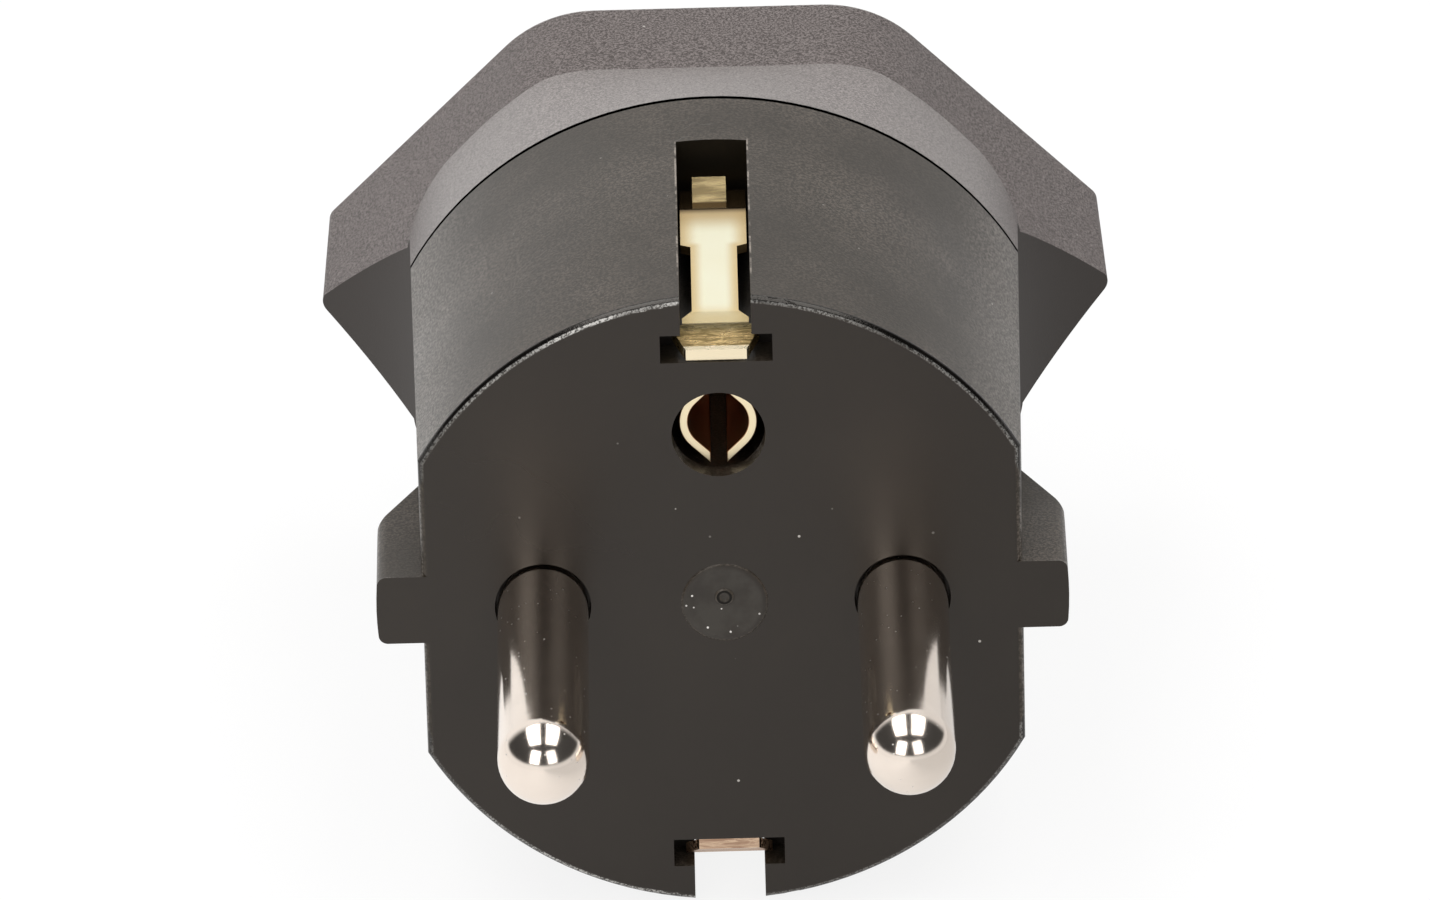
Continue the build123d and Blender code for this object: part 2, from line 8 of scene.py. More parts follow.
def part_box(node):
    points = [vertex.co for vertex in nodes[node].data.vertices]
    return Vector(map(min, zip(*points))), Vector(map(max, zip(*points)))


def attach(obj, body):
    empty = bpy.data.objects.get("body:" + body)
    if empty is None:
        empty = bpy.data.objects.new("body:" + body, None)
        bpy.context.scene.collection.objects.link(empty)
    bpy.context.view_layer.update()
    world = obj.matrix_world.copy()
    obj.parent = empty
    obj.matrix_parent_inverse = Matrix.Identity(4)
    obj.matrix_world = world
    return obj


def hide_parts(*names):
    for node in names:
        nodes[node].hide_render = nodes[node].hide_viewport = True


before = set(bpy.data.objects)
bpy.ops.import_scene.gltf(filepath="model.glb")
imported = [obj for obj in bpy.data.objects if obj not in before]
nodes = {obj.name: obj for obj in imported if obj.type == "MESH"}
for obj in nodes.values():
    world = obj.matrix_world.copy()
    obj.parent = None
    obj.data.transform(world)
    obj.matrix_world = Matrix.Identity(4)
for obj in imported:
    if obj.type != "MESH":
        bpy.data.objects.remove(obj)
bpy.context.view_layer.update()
scene = bpy.context.scene
MM = 0.001
FLOOR_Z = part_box("plug_body")[0][2]
# Centre of the gate nub on the plug's face, in millimetres.
NUB_X, NUB_Z = 0.08, 0.33
PLASTIC_IOR = 1.48
WHITE = (1.0, 1.0, 1.0)


def add_camera():
    """The photograph's camera: turned by azimuth, elevation and roll about a point in the part."""
    az, el, roll = [math.radians(v) for v in (0.071, 27.661, -1.533)]
    distance = 814.16 * MM
    aim = Vector((-0.201 * MM, 0.0, 9.088 * MM))
    focal_px, frame_px, sensor_mm = 15496.5, 1430.0, 36.0
    back = Vector((math.sin(az) * math.cos(el), -math.cos(az) * math.cos(el), math.sin(el)))
    level = Vector((math.cos(az), math.sin(az), 0.0))
    upright = back.cross(level)
    right = math.cos(roll) * level + math.sin(roll) * upright
    up = -math.sin(roll) * level + math.cos(roll) * upright
    cam = bpy.data.cameras.new("camera")
    cam.sensor_fit = "HORIZONTAL"
    cam.sensor_width = sensor_mm
    cam.lens = sensor_mm * focal_px / frame_px
    cam.clip_start = 0.05
    cam.clip_end = 20.0
    obj = bpy.data.objects.new("camera", cam)
    scene.collection.objects.link(obj)
    place = Matrix((right, up, back)).transposed().to_4x4()
    place.translation = aim + back * distance
    obj.matrix_world = place
    scene.camera = obj


class Tree:
    """Short way to write the nodes of a material or of the world."""

    def __init__(self, name, kind="Material"):
        owners = bpy.data.worlds if kind == "World" else bpy.data.materials
        self.owner = owners.new(name)
        self.owner.use_nodes = True
        self.nt = self.owner.node_tree
        self.nt.nodes.clear()
        self.out = self.node("Output" + kind)
        self.coord = self.node("TexCoord")

    def node(self, kind, **values):
        """A new node, with the values or links of its inputs by name, underscores for spaces."""
        n = self.nt.nodes.new("ShaderNode" + kind)
        for name, value in values.items():
            self.put(n.inputs[name.replace("_", " ")], value)
        return n

    def put(self, socket, value):
        """A link, or a constant; three numbers on a colour socket are an opaque colour."""
        if hasattr(value, "links"):
            self.nt.links.new(value, socket)
        elif socket.type == "RGBA":
            socket.default_value = (*value, 1.0)
        else:
            socket.default_value = value

    def math(self, op, a, b=0.0):
        n = self.node("Math")
        n.operation = op
        self.put(n.inputs[0], a)
        self.put(n.inputs[1], b)
        return n.outputs[0]

    def add(self, a, b):
        return self.math("ADD", a, b)

    def mul(self, a, b):
        return self.math("MULTIPLY", a, b)

    def most(self, a, b):
        return self.math("MAXIMUM", a, b)

    def size(self, a):
        return self.math("ABSOLUTE", a)

    def inverse(self, a):
        return self.math("SUBTRACT", 1.0, a)

    def reach(self, a, b):
        """Distance from the origin of the point (a, b)."""
        return self.math("SQRT", self.add(self.mul(a, a), self.mul(b, b)))

    def split(self, vector):
        n = self.node("SeparateXYZ", Vector=vector)
        return n.outputs

    def position(self):
        return self.split(self.coord.outputs["Object"])

    def normal(self):
        return self.split(self.node("NewGeometry").outputs["Normal"])

    def ramp(self, value, low, high, out_low=0.0, out_high=1.0):
        """Smooth step from out_low at low to out_high at high, level on both sides."""
        n = self.node("MapRange", Value=value, From_Min=low, From_Max=high, To_Min=out_low, To_Max=out_high)
        n.interpolation_type = "SMOOTHSTEP"
        return n.outputs[0]

    def band(self, value, start, full, fade, gone):
        """Smooth rise from start to full, and fall from fade to gone."""
        return self.mul(self.ramp(value, start, full), self.ramp(value, gone, fade))

    def scaled(self, *scale):
        n = self.node("Mapping", Vector=self.coord.outputs["Object"], Scale=scale)
        return n.outputs[0]

    def noise(self, scale, detail=2.0, rough=0.5, vector=None, distortion=0.0):
        vector = vector or self.coord.outputs["Object"]
        n = self.node("TexNoise", Vector=vector, Scale=scale, Detail=detail)
        self.put(n.inputs["Roughness"], rough)
        self.put(n.inputs["Distortion"], distortion)
        return n.outputs["Fac"]

    def cells(self, scale):
        return self.node("TexVoronoi", Vector=self.coord.outputs["Object"], Scale=scale).outputs

    def mix(self, fac, a, b):
        """Colour a where fac is 0, b where it is 1."""
        n = self.node("Mix")
        n.data_type = "RGBA"
        for socket, value in ((n.inputs[0], fac), (n.inputs[6], a), (n.inputs[7], b)):
            self.put(socket, value)
        return n.outputs[2]

    def blend(self, fac, a, b):
        """Number a where fac is 0, b where it is 1."""
        n = self.node("Mix")
        n.data_type = "FLOAT"
        for socket, value in ((n.inputs[0], fac), (n.inputs[2], a), (n.inputs[3], b)):
            self.put(socket, value)
        return n.outputs[0]

    def bump(self, height, distance):
        return self.node("Bump", Height=height, Distance=distance).outputs[0]

    def scratches(self, turn, stretch, scale, width, seed):
        """Thin line marks: bands of a stretched and turned noise, in patches."""
        shift = (seed * 0.013, seed * 0.029, seed * 0.017)
        n = self.node("Mapping")
        n.vector_type = "TEXTURE"
        self.put(n.inputs["Vector"], self.coord.outputs["Object"])
        for name, value in (("Rotation", turn), ("Scale", stretch), ("Location", shift)):
            self.put(n.inputs[name], value)
        lines = self.noise(scale, 1.0, 0.4, n.outputs[0])
        centre = self.size(self.math("SUBTRACT", lines, 0.5))
        thin = self.ramp(centre, 0.0, width, 1.0, 0.0)
        patch = self.ramp(self.noise(170.0 + 9 * seed, 2.0), 0.62, 0.72)
        return self.mul(thin, patch)

    def shader(self, color, rough, normal, **more):
        n = self.node("BsdfPrincipled", Base_Color=color, Roughness=rough, Normal=normal, **more)
        return n.outputs[0]

    def metal(self, color, rough, normal):
        return self.shader(color, rough, normal, Metallic=1.0)

    def plastic(self, color, rough, normal, tint, gloss):
        more = {"IOR": PLASTIC_IOR, "Specular_Tint": tint, "Specular_IOR_Level": gloss}
        return self.shader(color, rough, normal, **more)

    def choose(self, fac, a, b):
        """Shader a where fac is 0, b where it is 1."""
        n = self.node("MixShader")
        for socket, value in zip(n.inputs, (fac, a, b)):
            self.put(socket, value)
        return n.outputs[0]

    def finish(self, surface):
        self.put(self.out.inputs["Surface"], surface)
        return self.owner


def dust(t, color, amount, scale, size, tone):
    """Specks of dust on a colour, in the share of cells above amount; gives colour and mask."""
    cell = t.cells(scale)
    spot = t.ramp(cell["Distance"], size * 0.6, size, 1.0, 0.0)
    pick = t.split(cell["Color"])
    chosen = t.math("GREATER_THAN", pick[0], amount)
    strength = t.ramp(pick[1], 0.0, 1.0, 0.25, 1.0)
    speck = t.mul(t.mul(spot, chosen), strength)
    return t.mix(speck, color, tone), speck


def plug_plastic():
    """Satin black moulding of the plug: smooth face, grained side with a painted sheen, painted dark line
    and painted highlight on the face's edge, scratches, dust.
    """
    t = Tree("plug_plastic")
    pale_lip, scratched, painted_dark_edge = (0.42, 0.37, 0.32), (0.13, 0.12, 0.11), (0.001, 0.001, 0.001)
    painted_edge_highlight, dulled, nub_shade = (0.46, 0.45, 0.43), (0.029, 0.026, 0.022), (0.003, 0.0025, 0.002)
    seam_shade, pocket_shade = (0.0004, 0.0004, 0.0004), (0.006, 0.0048, 0.0032)
    loose_dust, stuck_dust = (0.40, 0.38, 0.35), (0.62, 0.60, 0.57)
    x, y, z = t.position()
    nx, ny = t.normal()[:2]
    face = t.ramp(ny, -0.90, -0.985)
    side = t.inverse(face)
    across = t.size(x)
    cloud = t.noise(140.0, 4.0, 0.6)
    broad = t.noise(60.0, 3.0, 0.5)
    grain = t.noise(6500.0, 3.0, 0.65)
    fine = t.noise(12000.0, 1.0, 0.5)
    side_base = t.mix(cloud, (0.0095, 0.0068, 0.0036), (0.0165, 0.0122, 0.0070))
    face_base = t.mix(cloud, (0.0095, 0.0070, 0.0060), (0.0160, 0.0124, 0.0096))
    base = t.mix(face, side_base, face_base)
    # The side's grain is rubbed paler in patches, and painted paler still where the round turns towards the
    # flats: a painted sheen.
    tone = t.ramp(grain, 0.40, 0.64)
    patch = t.ramp(t.noise(95.0, 4.0, 0.55), 0.34, 0.66, 0.25, 1.0)
    sideways = t.size(nx)
    sheen_flank = t.band(sideways, 0.60, 0.86, 0.91, 0.96)
    rubbed_and_sheen = t.mix(sheen_flank, (0.071, 0.057, 0.046), (0.165, 0.148, 0.132))
    base = t.mix(t.mul(tone, t.mul(side, t.most(patch, sheen_flank))), base, rubbed_and_sheen)
    # The slots' long edges carry a broken pale line.
    lip = t.band(across, 1.86 * MM, 1.90 * MM, 1.95 * MM, 1.99 * MM)
    lip = t.mul(lip, t.band(y, 2.5 * MM, 3.2 * MM, 17.4 * MM, 18.2 * MM))
    lip = t.mul(lip, t.ramp(t.noise(900.0, 3.0, 0.7), 0.42, 0.60))
    base = t.mix(t.mul(t.mul(lip, side), 0.45), base, pale_lip)
    steep = t.scratches((0.0, 0.5, 0.3), (1.0, 1.0, 14.0), 900.0, 0.010, 3)
    slanted = t.scratches((0.0, -0.9, 0.8), (1.0, 1.0, 18.0), 800.0, 0.008, 7)
    marks = t.mul(t.most(steep, slanted), side)
    base = t.mix(t.mul(marks, 0.30), base, scratched)
    # The rounded edge of the face is smooth and painted near black, a painted dark reflection; beside the
    # face it carries a broken painted highlight, stronger on the left.
    radius = t.reach(x, z)
    outer = t.ramp(radius, 17.3 * MM, 17.5 * MM)
    turned = t.mul(t.band(ny, -0.96, -0.88, -0.16, -0.04), outer)
    base = t.mix(t.mul(turned, 0.95), base, painted_dark_edge)
    rim_highlight = t.mul(t.band(y, 0.004 * MM, 0.020 * MM, 0.070 * MM, 0.115 * MM), outer)
    rim_highlight = t.mul(rim_highlight, t.ramp(t.noise(220.0, 2.0), 0.34, 0.54, 0.35, 1.0))
    more_on_left = t.ramp(x, 3.0 * MM, -3.0 * MM, 0.30, 1.0)
    less_at_side = t.ramp(x, -15.5 * MM, -9.0 * MM, 0.20, 1.0)
    rim_highlight = t.mul(t.mul(rim_highlight, more_on_left), less_at_side)
    crumbs = t.ramp(t.noise(9000.0, 2.0, 0.7), 0.40, 0.60, 0.05, 1.0)
    base = t.mix(t.mul(rim_highlight, crumbs), base, painted_edge_highlight)
    base, speck = dust(t, base, 0.980, 1700.0, 0.15, loose_dust)
    # The round ejector mark on the face is duller, dust has stuck to it, and its nub is dark.
    mark = t.mul(t.ramp(radius, 2.32 * MM, 1.90 * MM), face)
    dull = t.ramp(t.noise(520.0, 3.0, 0.6), 0.38, 0.62, 0.25, 0.9)
    base = t.mix(t.mul(mark, dull), base, dulled)
    from_nub = t.reach(t.add(x, -NUB_X * MM), t.add(z, -NUB_Z * MM))
    nub = t.mul(t.band(from_nub, 0.16 * MM, 0.30 * MM, 0.48 * MM, 0.56 * MM), face)
    base = t.mix(nub, base, nub_shade)
    dusty, stuck = dust(t, base, 0.74, 2600.0, 0.20, stuck_dust)
    base = t.mix(mark, base, dusty)
    speck = t.most(speck, t.mul(stuck, mark))
    rough = t.blend(face, 0.35, 0.30)
    rough = t.add(rough, t.ramp(broad, 0.35, 0.65, -0.03, 0.05))
    rough = t.blend(turned, rough, 0.12)
    # The plug's rear rim lies in the shade of the joint's groove.
    seam = t.mul(t.ramp(y, 22.36 * MM, 22.39 * MM), t.ramp(radius, 14.0 * MM, 14.5 * MM))
    base = t.mix(seam, base, seam_shade)
    gloss = t.blend(nub, t.blend(seam, 0.5, 0.0), 0.22)
    # Walls that face forward deep in a slot see almost no light.
    pocket = t.mul(t.ramp(y, 2.0 * MM, 4.0 * MM), t.ramp(ny, -0.5, -0.9))
    base = t.mix(pocket, base, pocket_shade)
    gloss = t.blend(pocket, gloss, 0.30)
    rough = t.add(rough, t.mul(rim_highlight, 0.25))
    height = t.add(t.mul(grain, t.blend(face, 1.0, 0.22)), t.mul(fine, 0.15))
    height = t.add(height, t.mul(marks, -0.5))
    height = t.add(height, t.mul(speck, 0.8))
    normal = t.bump(height, 0.013 * MM)
    tint = (1.0, 0.935, 0.86)
    return t.finish(t.plastic(base, rough, normal, tint, gloss))


def housing_plastic():
    """Black rear moulding: fine grain on the shoulder, painted pale as a painted sheen, smooth flares,
    coarse sparked collar.
    """
    t = Tree("housing_plastic")
    collar_black, shoulder_black = (0.030, 0.021, 0.019), (0.036, 0.028, 0.025)
    collar_grain, shoulder_grain_sheen = (0.178, 0.153, 0.147), (0.320, 0.284, 0.271)
    lit_flare, loose_dust = (0.024, 0.0205, 0.0185), (0.42, 0.40, 0.37)
    x, y, z = t.position()
    nx, ny, nz = t.normal()
    shoulder = t.ramp(ny, 0.10, 0.22)
    flare = t.mul(t.ramp(t.size(nz), 0.30, 0.12), t.ramp(ny, -0.06, -0.20))
    # Inside the socket's recess: walls that face the part's axis, and the floor.
    facing = t.add(t.mul(nx, x), t.mul(nz, z))
    inward = t.ramp(facing, -0.1 * MM, -0.6 * MM)
    bottom = t.mul(t.ramp(ny, 0.90, 0.96), t.ramp(y, 40.0 * MM, 39.0 * MM))
    within = t.mul(t.most(inward, bottom), t.ramp(y, 34.0 * MM, 35.0 * MM))
    outside = t.inverse(within)
    shoulder = t.mul(shoulder, outside)
    flare = t.mul(flare, outside)
    smooth = t.most(t.most(shoulder, flare), within)
    coarse = t.inverse(smooth)
    cloud = t.noise(120.0, 4.0, 0.6)
    pits = t.noise(7400.0, 3.0, 0.75)
    mid = t.noise(9500.0, 2.0, 0.6)
    fine = t.noise(12000.0, 1.0, 0.5)
    base = t.mix(cloud, (0.0105, 0.0074, 0.0060), (0.0175, 0.0128, 0.0108))
    base = t.mix(coarse, base, collar_black)
    base = t.mix(shoulder, base, shoulder_black)
    tone = t.ramp(pits, 0.42, 0.60)
    amount = t.add(t.mul(coarse, 0.90), t.mul(shoulder, 0.80))
    amount = t.add(amount, t.add(t.mul(flare, 0.05), t.mul(within, 0.22)))
    # The shoulder's grain is painted pale: a painted sheen where the surface slopes up and back.
    pale = t.mix(shoulder, collar_grain, shoulder_grain_sheen)
    base = t.mix(t.mul(tone, amount), base, pale)
    base = t.mix(t.mul(flare, t.ramp(z, 8.0 * MM, 0.0)), base, lit_flare)
    base, speck = dust(t, base, 0.990, 1700.0, 0.15, loose_dust)
    rough = t.blend(coarse, 0.31, 0.50)
    rough = t.blend(shoulder, rough, 0.40)
    rough = t.add(rough, t.mul(t.math("SUBTRACT", mid, 0.5), 0.12))
    coarse_height = t.add(t.mul(pits, 0.8), t.mul(mid, 0.2))
    fine_height = t.add(t.mul(mid, 0.6), t.mul(fine, 0.4))
    fine_amount = t.mul(smooth, t.blend(shoulder, 0.11, 0.24))
    height = t.add(t.mul(coarse_height, coarse), t.mul(fine_height, fine_amount))
    height = t.add(height, t.mul(speck, 0.2))
    normal = t.bump(height, 0.065 * MM)
    tint = (1.0, 0.93, 0.88)
    gloss = t.blend(shoulder, 0.5, 0.95)
    return t.finish(t.plastic(base, rough, normal, tint, gloss))


def nickel():
    """Bright nickel plating with turning marks, faint axial wear and dust."""
    t = Tree("nickel_plating")
    cloud = t.noise(380.0, 4.0, 0.6)
    rings = t.noise(2600.0, 2.0, 0.6, t.scaled(0.05, 1.0, 0.05))
    wear = t.noise(1500.0, 2.0, 0.6, t.scaled(1.0, 0.04, 1.0))
    color = t.mix(cloud, (0.81, 0.71, 0.625), (0.95, 0.85, 0.755))
    pale_dust = (0.75, 0.72, 0.68)
    color, speck = dust(t, color, 0.74, 3000.0, 0.17, pale_dust)
    rough = t.add(t.blend(cloud, 0.08, 0.15), t.mul(wear, 0.05))
    rough = t.add(rough, t.mul(speck, 0.35))
    height = t.add(t.mul(rings, 0.6), t.mul(wear, 0.4))
    height = t.add(height, t.mul(speck, 1.5))
    normal = t.bump(height, 0.004 * MM)
    return t.finish(t.metal(color, rough, normal))


def clip_brass():
    """Pale rolled brass: scraped bend in painted shade, golden sides, rear end in painted shade, coppery
    lower clip's end.
    """
    t = Tree("clip_brass")
    golden, amber = (0.74, 0.54, 0.25), (0.84, 0.66, 0.34)
    rear_shade, step_shade = (0.60, 0.43, 0.20), (0.15, 0.095, 0.040)
    tongue_gold, scraped, end_gold = (0.74, 0.58, 0.30), (0.08, 0.058, 0.02), (0.97, 0.84, 0.60)
    x, y, z = t.position()
    cloud = t.noise(300.0, 3.0, 0.6)
    rolled = t.noise(2600.0, 3.0, 0.6, t.scaled(0.12, 1.0, 1.0))
    scrape = t.noise(5200.0, 3.0, 0.7, t.scaled(0.16, 1.0, 1.0), 0.8)
    bend = t.band(y, 0.28 * MM, 0.34 * MM, 1.45 * MM, 1.62 * MM)
    rub = t.mul(bend, t.ramp(scrape, 0.36, 0.62))
    color = t.mix(cloud, (0.96, 0.91, 0.66), (0.99, 0.97, 0.77))
    across = t.size(x)
    wings, nose = t.ramp(y, 9.2 * MM, 9.8 * MM), t.ramp(y, 2.6 * MM, 1.9 * MM)
    wide = t.most(wings, nose)
    waist_side = t.ramp(across, 0.50 * MM, 1.20 * MM)
    wing_side = t.ramp(across, 0.75 * MM, 1.70 * MM)
    side = t.blend(wide, waist_side, wing_side)
    toward_bend = t.ramp(y, 3.4 * MM, 1.9 * MM)
    toward_step = t.ramp(y, 10.6 * MM, 12.9 * MM, 0.0, 0.90)
    step = t.ramp(y, 12.8 * MM, 13.5 * MM)
    color = t.mix(t.mul(side, 0.85), color, golden)
    color = t.mix(t.mul(toward_bend, 0.8), color, amber)
    # Painted shade: the rear end is painted darker towards the step, and near black at the step.
    color = t.mix(toward_step, color, rear_shade)
    color = t.mix(step, color, step_shade)
    high = t.most(t.ramp(z, 16.15 * MM, 16.30 * MM), t.ramp(z, -16.15 * MM, -16.30 * MM))
    tongue = t.mul(t.ramp(y, 14.45 * MM, 14.60 * MM), high)
    color = t.mix(t.mul(tongue, t.ramp(rolled, 0.40, 0.60, 0.45, 1.0)), color, tongue_gold)
    # Painted shade: the bend is painted dark, darkest towards its rear, and the scraped marks go over it.
    worn = t.mix(t.ramp(y, 0.80 * MM, 1.20 * MM), (0.42, 0.29, 0.125), (0.055, 0.042, 0.016))
    color = t.mix(t.mul(bend, 0.85), color, worn)
    color = t.mix(t.mul(rub, 0.80), color, scraped)
    color = t.mix(t.ramp(y, 0.34 * MM, 0.28 * MM), color, end_gold)
    under = t.mul(t.ramp(z, -5.0 * MM, -9.0 * MM), t.ramp(y, 1.6 * MM, 1.2 * MM))
    copper = t.mix(t.ramp(scrape, 0.34, 0.66), (0.36, 0.20, 0.13), (0.70, 0.49, 0.34))
    color = t.mix(t.mul(under, 0.9), color, copper)
    rough = t.add(t.blend(cloud, 0.20, 0.28), t.mul(rub, 0.22))
    height = t.add(t.mul(rolled, 0.3), t.mul(rub, 1.0))
    normal = t.bump(height, 0.012 * MM)
    return t.finish(t.metal(color, rough, normal))


def contact_brass():
    """Brass of the inner contacts: pale at the leaves' ends, reddish inside, with painted shade darkening
    it deeper in.
    """
    t = Tree("contact_brass")
    y = t.position()[1]
    ny = t.normal()[1]
    cloud = t.noise(420.0, 3.0, 0.6)
    grain = t.noise(4200.0, 2.0, 0.6, t.scaled(1.0, 0.15, 1.0))
    end = t.ramp(ny, -0.90, -0.97)
    # Painted shade: the inside is painted darker deeper into the slot.
    shade_deeper_in = t.ramp(y, 1.6 * MM, 7.0 * MM)
    dull = t.mix(cloud, (0.34, 0.13, 0.06), (0.46, 0.20, 0.09))
    reddish, pale_end = (0.50, 0.25, 0.12), (1.0, 0.86, 0.58)
    color = t.mix(end, t.mix(shade_deeper_in, reddish, dull), pale_end)
    rough = t.add(t.blend(cloud, 0.26, 0.38), t.mul(grain, 0.08))
    normal = t.bump(grain, 0.006 * MM)
    return t.finish(t.metal(color, rough, normal))


def spring_steel():
    """Bright spring steel, drawn round the rings."""
    t = Tree("spring_steel")
    cloud = t.noise(500.0, 3.0, 0.6)
    grain = t.noise(3800.0, 2.0, 0.6, t.scaled(0.2, 1.0, 0.2))
    color = t.mix(cloud, (0.46, 0.46, 0.47), (0.60, 0.60, 0.61))
    normal = t.bump(grain, 0.005 * MM)
    return t.finish(t.metal(color, t.blend(cloud, 0.22, 0.34), normal))


def carrier_plastic():
    """Plain black moulding of the hidden carrier."""
    t = Tree("carrier_plastic")
    cloud = t.noise(200.0, 3.0, 0.6)
    grain = t.noise(6000.0, 2.0, 0.6)
    color = t.mix(cloud, (0.020, 0.019, 0.018), (0.030, 0.028, 0.026))
    normal = t.bump(grain, 0.010 * MM)
    return t.finish(t.shader(color, t.blend(cloud, 0.45, 0.55), normal))


def assign(obj, material):
    if not obj.material_slots:
        obj.data.materials.append(material)
    for slot in obj.material_slots:
        slot.link = "OBJECT"
        slot.material = material


def dress_cad():
    """Materials on the CAD objects; gives those that the scene's own pieces take as well."""
    plug = plug_plastic()
    metal = nickel()
    clip = clip_brass()
    contact = contact_brass()
    spring = spring_steel()
    looks = {
        "plug_body": plug,
        "socket_housing": housing_plastic(),
        "contact_carrier": carrier_plastic(),
        "left_plug_pin": metal,
        "right_plug_pin": metal,
        "upper_earth_clip": clip,
        "lower_earth_clip": clip,
    }
    for name, obj in nodes.items():
        look = looks.get(name)
        if look is None:
            look = spring if name.endswith("spring") else contact
        assign(obj, look)
    return plug, contact


def smooth_object(name, bm, material):
    """Object made of a bmesh, smooth shaded, with its faces turned outwards."""
    bmesh.ops.recalc_face_normals(bm, faces=bm.faces)
    mesh = bpy.data.meshes.new(name)
    bm.to_mesh(mesh)
    bm.free()
    for p in mesh.polygons:
        p.use_smooth = True
    obj = bpy.data.objects.new(name, mesh)
    scene.collection.objects.link(obj)
    mesh.materials.append(material)
    return obj


def add_strip(bm, a, b, closed=False):
    """Faces between two rows of vertices, and from their ends back to their starts if closed."""
    count = len(a) if closed else len(a) - 1
    for i in range(count):
        j = (i + 1) % len(a)
        bm.faces.new((a[i], a[j], b[j], b[i]))


def gate_mark(material):
    """Closed thin disc on the plug's face: the ring of its ejector mark, and the gate nub in it."""
    bm = bmesh.new()
    around = 64
    # Radius and height of each loop, in millimetres, from the outer edge inwards.
    dish = (
        (2.30, -0.010), (2.30, 0.000), (2.20, 0.030), (2.08, 0.072),
        (1.94, 0.076), (1.74, 0.038), (1.50, 0.020),
    )
    nub = (
        (0.60, 0.014), (0.50, 0.020), (0.44, 0.075), (0.38, 0.100),
        (0.28, 0.094), (0.20, 0.036), (0.12, 0.024),
    )
    dish_x = 0.10
    loops = []
    for centre, profile in (((dish_x, 0.0), dish), ((NUB_X, NUB_Z), nub)):
        for r, h in profile:
            loop = []
            for i in range(around):
                a = 2 * math.pi * i / around
                x, z = centre[0] + r * math.cos(a), centre[1] + r * math.sin(a)
                loop.append(bm.verts.new((x * MM, -h * MM, z * MM)))
            loops.append(loop)
    for outer, inner in zip(loops, loops[1:]):
        add_strip(bm, outer, inner, closed=True)
    bm.faces.new(loops[-1])
    bm.faces.new(loops[0])
    obj = smooth_object("gate_mark", bm, material)
    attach(obj, "root")


def leaf_outline(half_width, side_r, gap, count):
    """Half of the mouth's outline, X > 0: round side, then straight legs at 45 degrees to the tips."""
    arc = side_r * math.pi / 4
    leg = (half_width - side_r * (1 - math.sqrt(0.5)) - gap) * math.sqrt(2)
    points = []
    for i in range(count + 1):
        s = (2.0 * i / count - 1.0) * (arc + leg)
        a = min(abs(s), arc) / side_r
        x = half_width - side_r + side_r * math.cos(a)
        z = side_r * math.sin(a)
        past = max(abs(s) - arc, 0.0) * math.sqrt(0.5)
        points.append((x - past, math.copysign(z + past, s)))
    return points


def leaf_contact(material):
    """The two spring leaves, round sided and drawn in to tips above and below, on their riveted cup."""
    count = 48
    # All in millimetres: the axis height, the sheet, half the slot, the radii, and the places along Y.
    height, wall, gap = 10.2, 0.47, 0.42
    mouth_half_width, mouth_side_r = 2.06, 2.0
    tube_out, tube_in, hole_r = 2.9, 2.9 - wall, 0.8
    mouth, taper_end, slot_end, floor, rear = 1.1, 11.1, 14.4, 15.4, 16.0
    worn_edge, edge_angle, sharp_angle = 0.06, 50.0, 35.0
    # Steps round the tube across one end of the slot.
    across_slot = 4
    bm = bmesh.new()

    def row(points, y):
        return [bm.verts.new((x * MM, y * MM, (height + z) * MM)) for x, z in points]

    def half_turn(r):
        """Angles from the slot's lower edge to its upper one, and on across the slot."""
        most = math.acos(gap / r)
        half = [(2.0 * i / count - 1.0) * most for i in range(count + 1)]
        over = [most + (math.pi - 2 * most) * i / across_slot for i in range(1, across_slot)]
        return half, over

    def spread(r, at, y):
        """Whole ring of radius r at the angles that a ring of radius at has."""
        half, over = half_turn(at)
        turn = half + over
        turn = turn + [a + math.pi for a in turn]
        return row([(r * math.cos(a), r * math.sin(a)) for a in turn], y)

    ring_out = spread(tube_out, tube_out, slot_end)
    ring_in = spread(tube_in, tube_in, slot_end)
    half = count + across_slot
    for turn in (0, 1):
        sign = 1 - 2 * turn
        first = turn * half
        skins = []
        for inset, r, ring in ((0.0, tube_out, ring_out), (wall, tube_in, ring_in)):
            tip = leaf_outline(mouth_half_width - inset, mouth_side_r - inset, gap, count)
            tip_row = row([(sign * x, sign * z) for x, z in tip], mouth)
            angles = half_turn(r)[0]
            mid_row = row([(sign * r * math.cos(a), sign * r * math.sin(a)) for a in angles], taper_end)
            end_row = ring[first:first + count + 1]
            add_strip(bm, tip_row, mid_row)
            add_strip(bm, mid_row, end_row)
            skins.append((tip_row, mid_row, end_row))
        outer, inner = skins
        add_strip(bm, outer[0], inner[0])
        for i in (0, count):
            for k in (0, 1):
                bm.faces.new((outer[k][i], outer[k + 1][i], inner[k + 1][i], inner[k][i]))
        over = [(first + count + i) % len(ring_out) for i in range(across_slot + 1)]
        add_strip(bm, [ring_out[i] for i in over], [ring_in[i] for i in over])
    cup = (
        ring_out,
        spread(tube_out, tube_out, rear),
        spread(hole_r, tube_in, rear),
        spread(hole_r, tube_in, floor),
        spread(tube_in, tube_in, floor),
        ring_in,
    )
    for a, b in zip(cup, cup[1:]):
        add_strip(bm, a, b, closed=True)
    obj = smooth_object("earth_leaves", bm, material)
    obj.data.set_sharp_from_angle(angle=math.radians(sharp_angle))
    bevel = obj.modifiers.new("worn edges", "BEVEL")
    bevel.width = worn_edge * MM
    bevel.segments = 3
    bevel.limit_method = "ANGLE"
    bevel.angle_limit = math.radians(edge_angle)
    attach(obj, "root")
    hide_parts("earth_leaf_contact")


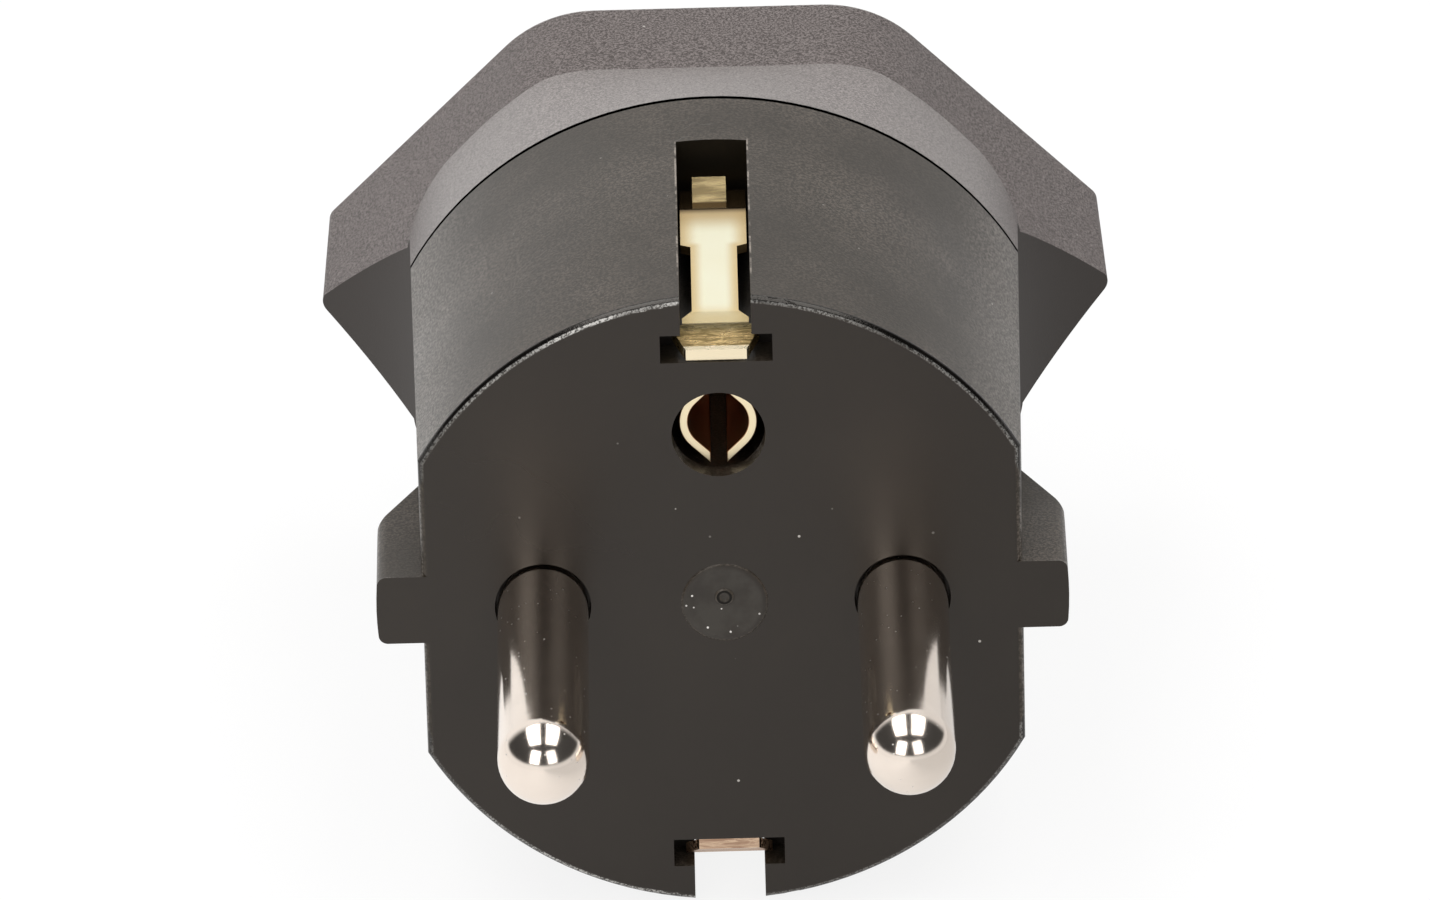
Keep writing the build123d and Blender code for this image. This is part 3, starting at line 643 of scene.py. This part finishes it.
def add_floor():
    """White floor just under the part, seen bright and mirrored a little dimmer on the right."""
    half_size, under_part = 3.0, 0.02 * MM
    paint, share_seen_bright, right_dimmer = (0.80, 0.80, 0.80), 0.86, 0.38
    z = FLOOR_Z - under_part
    mesh = bpy.data.meshes.new("floor")
    corners = [(-half_size, -half_size, z), (half_size, -half_size, z)]
    corners += [(half_size, half_size, z), (-half_size, half_size, z)]
    mesh.from_pydata(corners, [], [(0, 1, 2, 3)])
    obj = bpy.data.objects.new("floor", mesh)
    scene.collection.objects.link(obj)
    t = Tree("floor_white")
    diffuse = t.node("BsdfDiffuse", Color=paint).outputs[0]
    path = t.node("LightPath").outputs
    seen = t.most(t.most(path["Is Camera Ray"], path["Is Glossy Ray"]), path["Is Transmission Ray"])
    x = t.position()[0]
    dim = t.mul(t.ramp(x, -25 * MM, 45 * MM, 0.0, right_dimmer), path["Is Glossy Ray"])
    glow = t.node("Emission", Color=WHITE, Strength=t.inverse(dim)).outputs[0]
    mesh.materials.append(t.finish(t.choose(t.mul(seen, share_seen_bright), diffuse, glow)))


def add_world():
    """White studio: a white backdrop behind and low down, a dim room above and in front."""
    right_dimmer, room_mirrored, room_strength = 0.22, 0.05, 0.55
    warm_white = (1.0, 0.985, 0.97)
    t = Tree("studio", "World")
    path = t.node("LightPath").outputs
    x, y, z = t.split(t.coord.outputs["Generated"])
    behind = t.mul(t.ramp(y, 0.35, 0.70), t.ramp(z, 0.84, 0.72))
    white = t.most(behind, t.ramp(z, 0.22, 0.12))
    fall = t.inverse(t.mul(t.ramp(x, -0.30, 0.45), right_dimmer))
    mirrored = t.add(t.mul(t.mul(white, fall), 1.0 - room_mirrored), room_mirrored)
    seen = t.most(path["Is Camera Ray"], path["Is Transmission Ray"])
    plain = t.node("Background", Color=WHITE, Strength=1.0).outputs[0]
    room = t.node("Background", Color=warm_white, Strength=room_strength).outputs[0]
    mirror = t.node("Background", Color=WHITE, Strength=mirrored).outputs[0]
    lit = t.choose(path["Is Glossy Ray"], room, mirror)
    scene.world = t.finish(t.choose(seen, lit, plain))


def add_lamp(name, place, aim, size, power):
    """White rectangular area lamp, turned towards aim."""
    lamp = bpy.data.lights.new(name, "AREA")
    lamp.shape = "RECTANGLE"
    lamp.size, lamp.size_y = size
    lamp.energy = power
    obj = bpy.data.objects.new(name, lamp)
    scene.collection.objects.link(obj)
    obj.location = place
    direction = Vector(aim) - Vector(place)
    obj.rotation_mode = "QUATERNION"
    obj.rotation_quaternion = direction.to_track_quat("-Z", "Y")


def add_lights():
    """Two soft boxes overhead with a gap between them, and one on each side of the camera."""
    overhead_size, front_size, centre = (0.33, 0.72), (0.30, 0.42), (0.0, 0.0, 0.0)
    for side, power in ((-1, 2.7), (1, 2.2)):
        x, y = side * 0.235, 0.06
        add_lamp("overhead", (x, y, 0.60), (x, y, 0.0), overhead_size, power)
    for name, side, power in (("front_left", -1, 1.50), ("front_right", 1, 0.80)):
        add_lamp(name, (side * 0.26, -0.60, 0.36), centre, front_size, power)


scene.view_settings.view_transform = "Standard"
add_camera()
plug_look, contact_look = dress_cad()
gate_mark(plug_look)
leaf_contact(contact_look)
add_floor()
add_world()
add_lights()
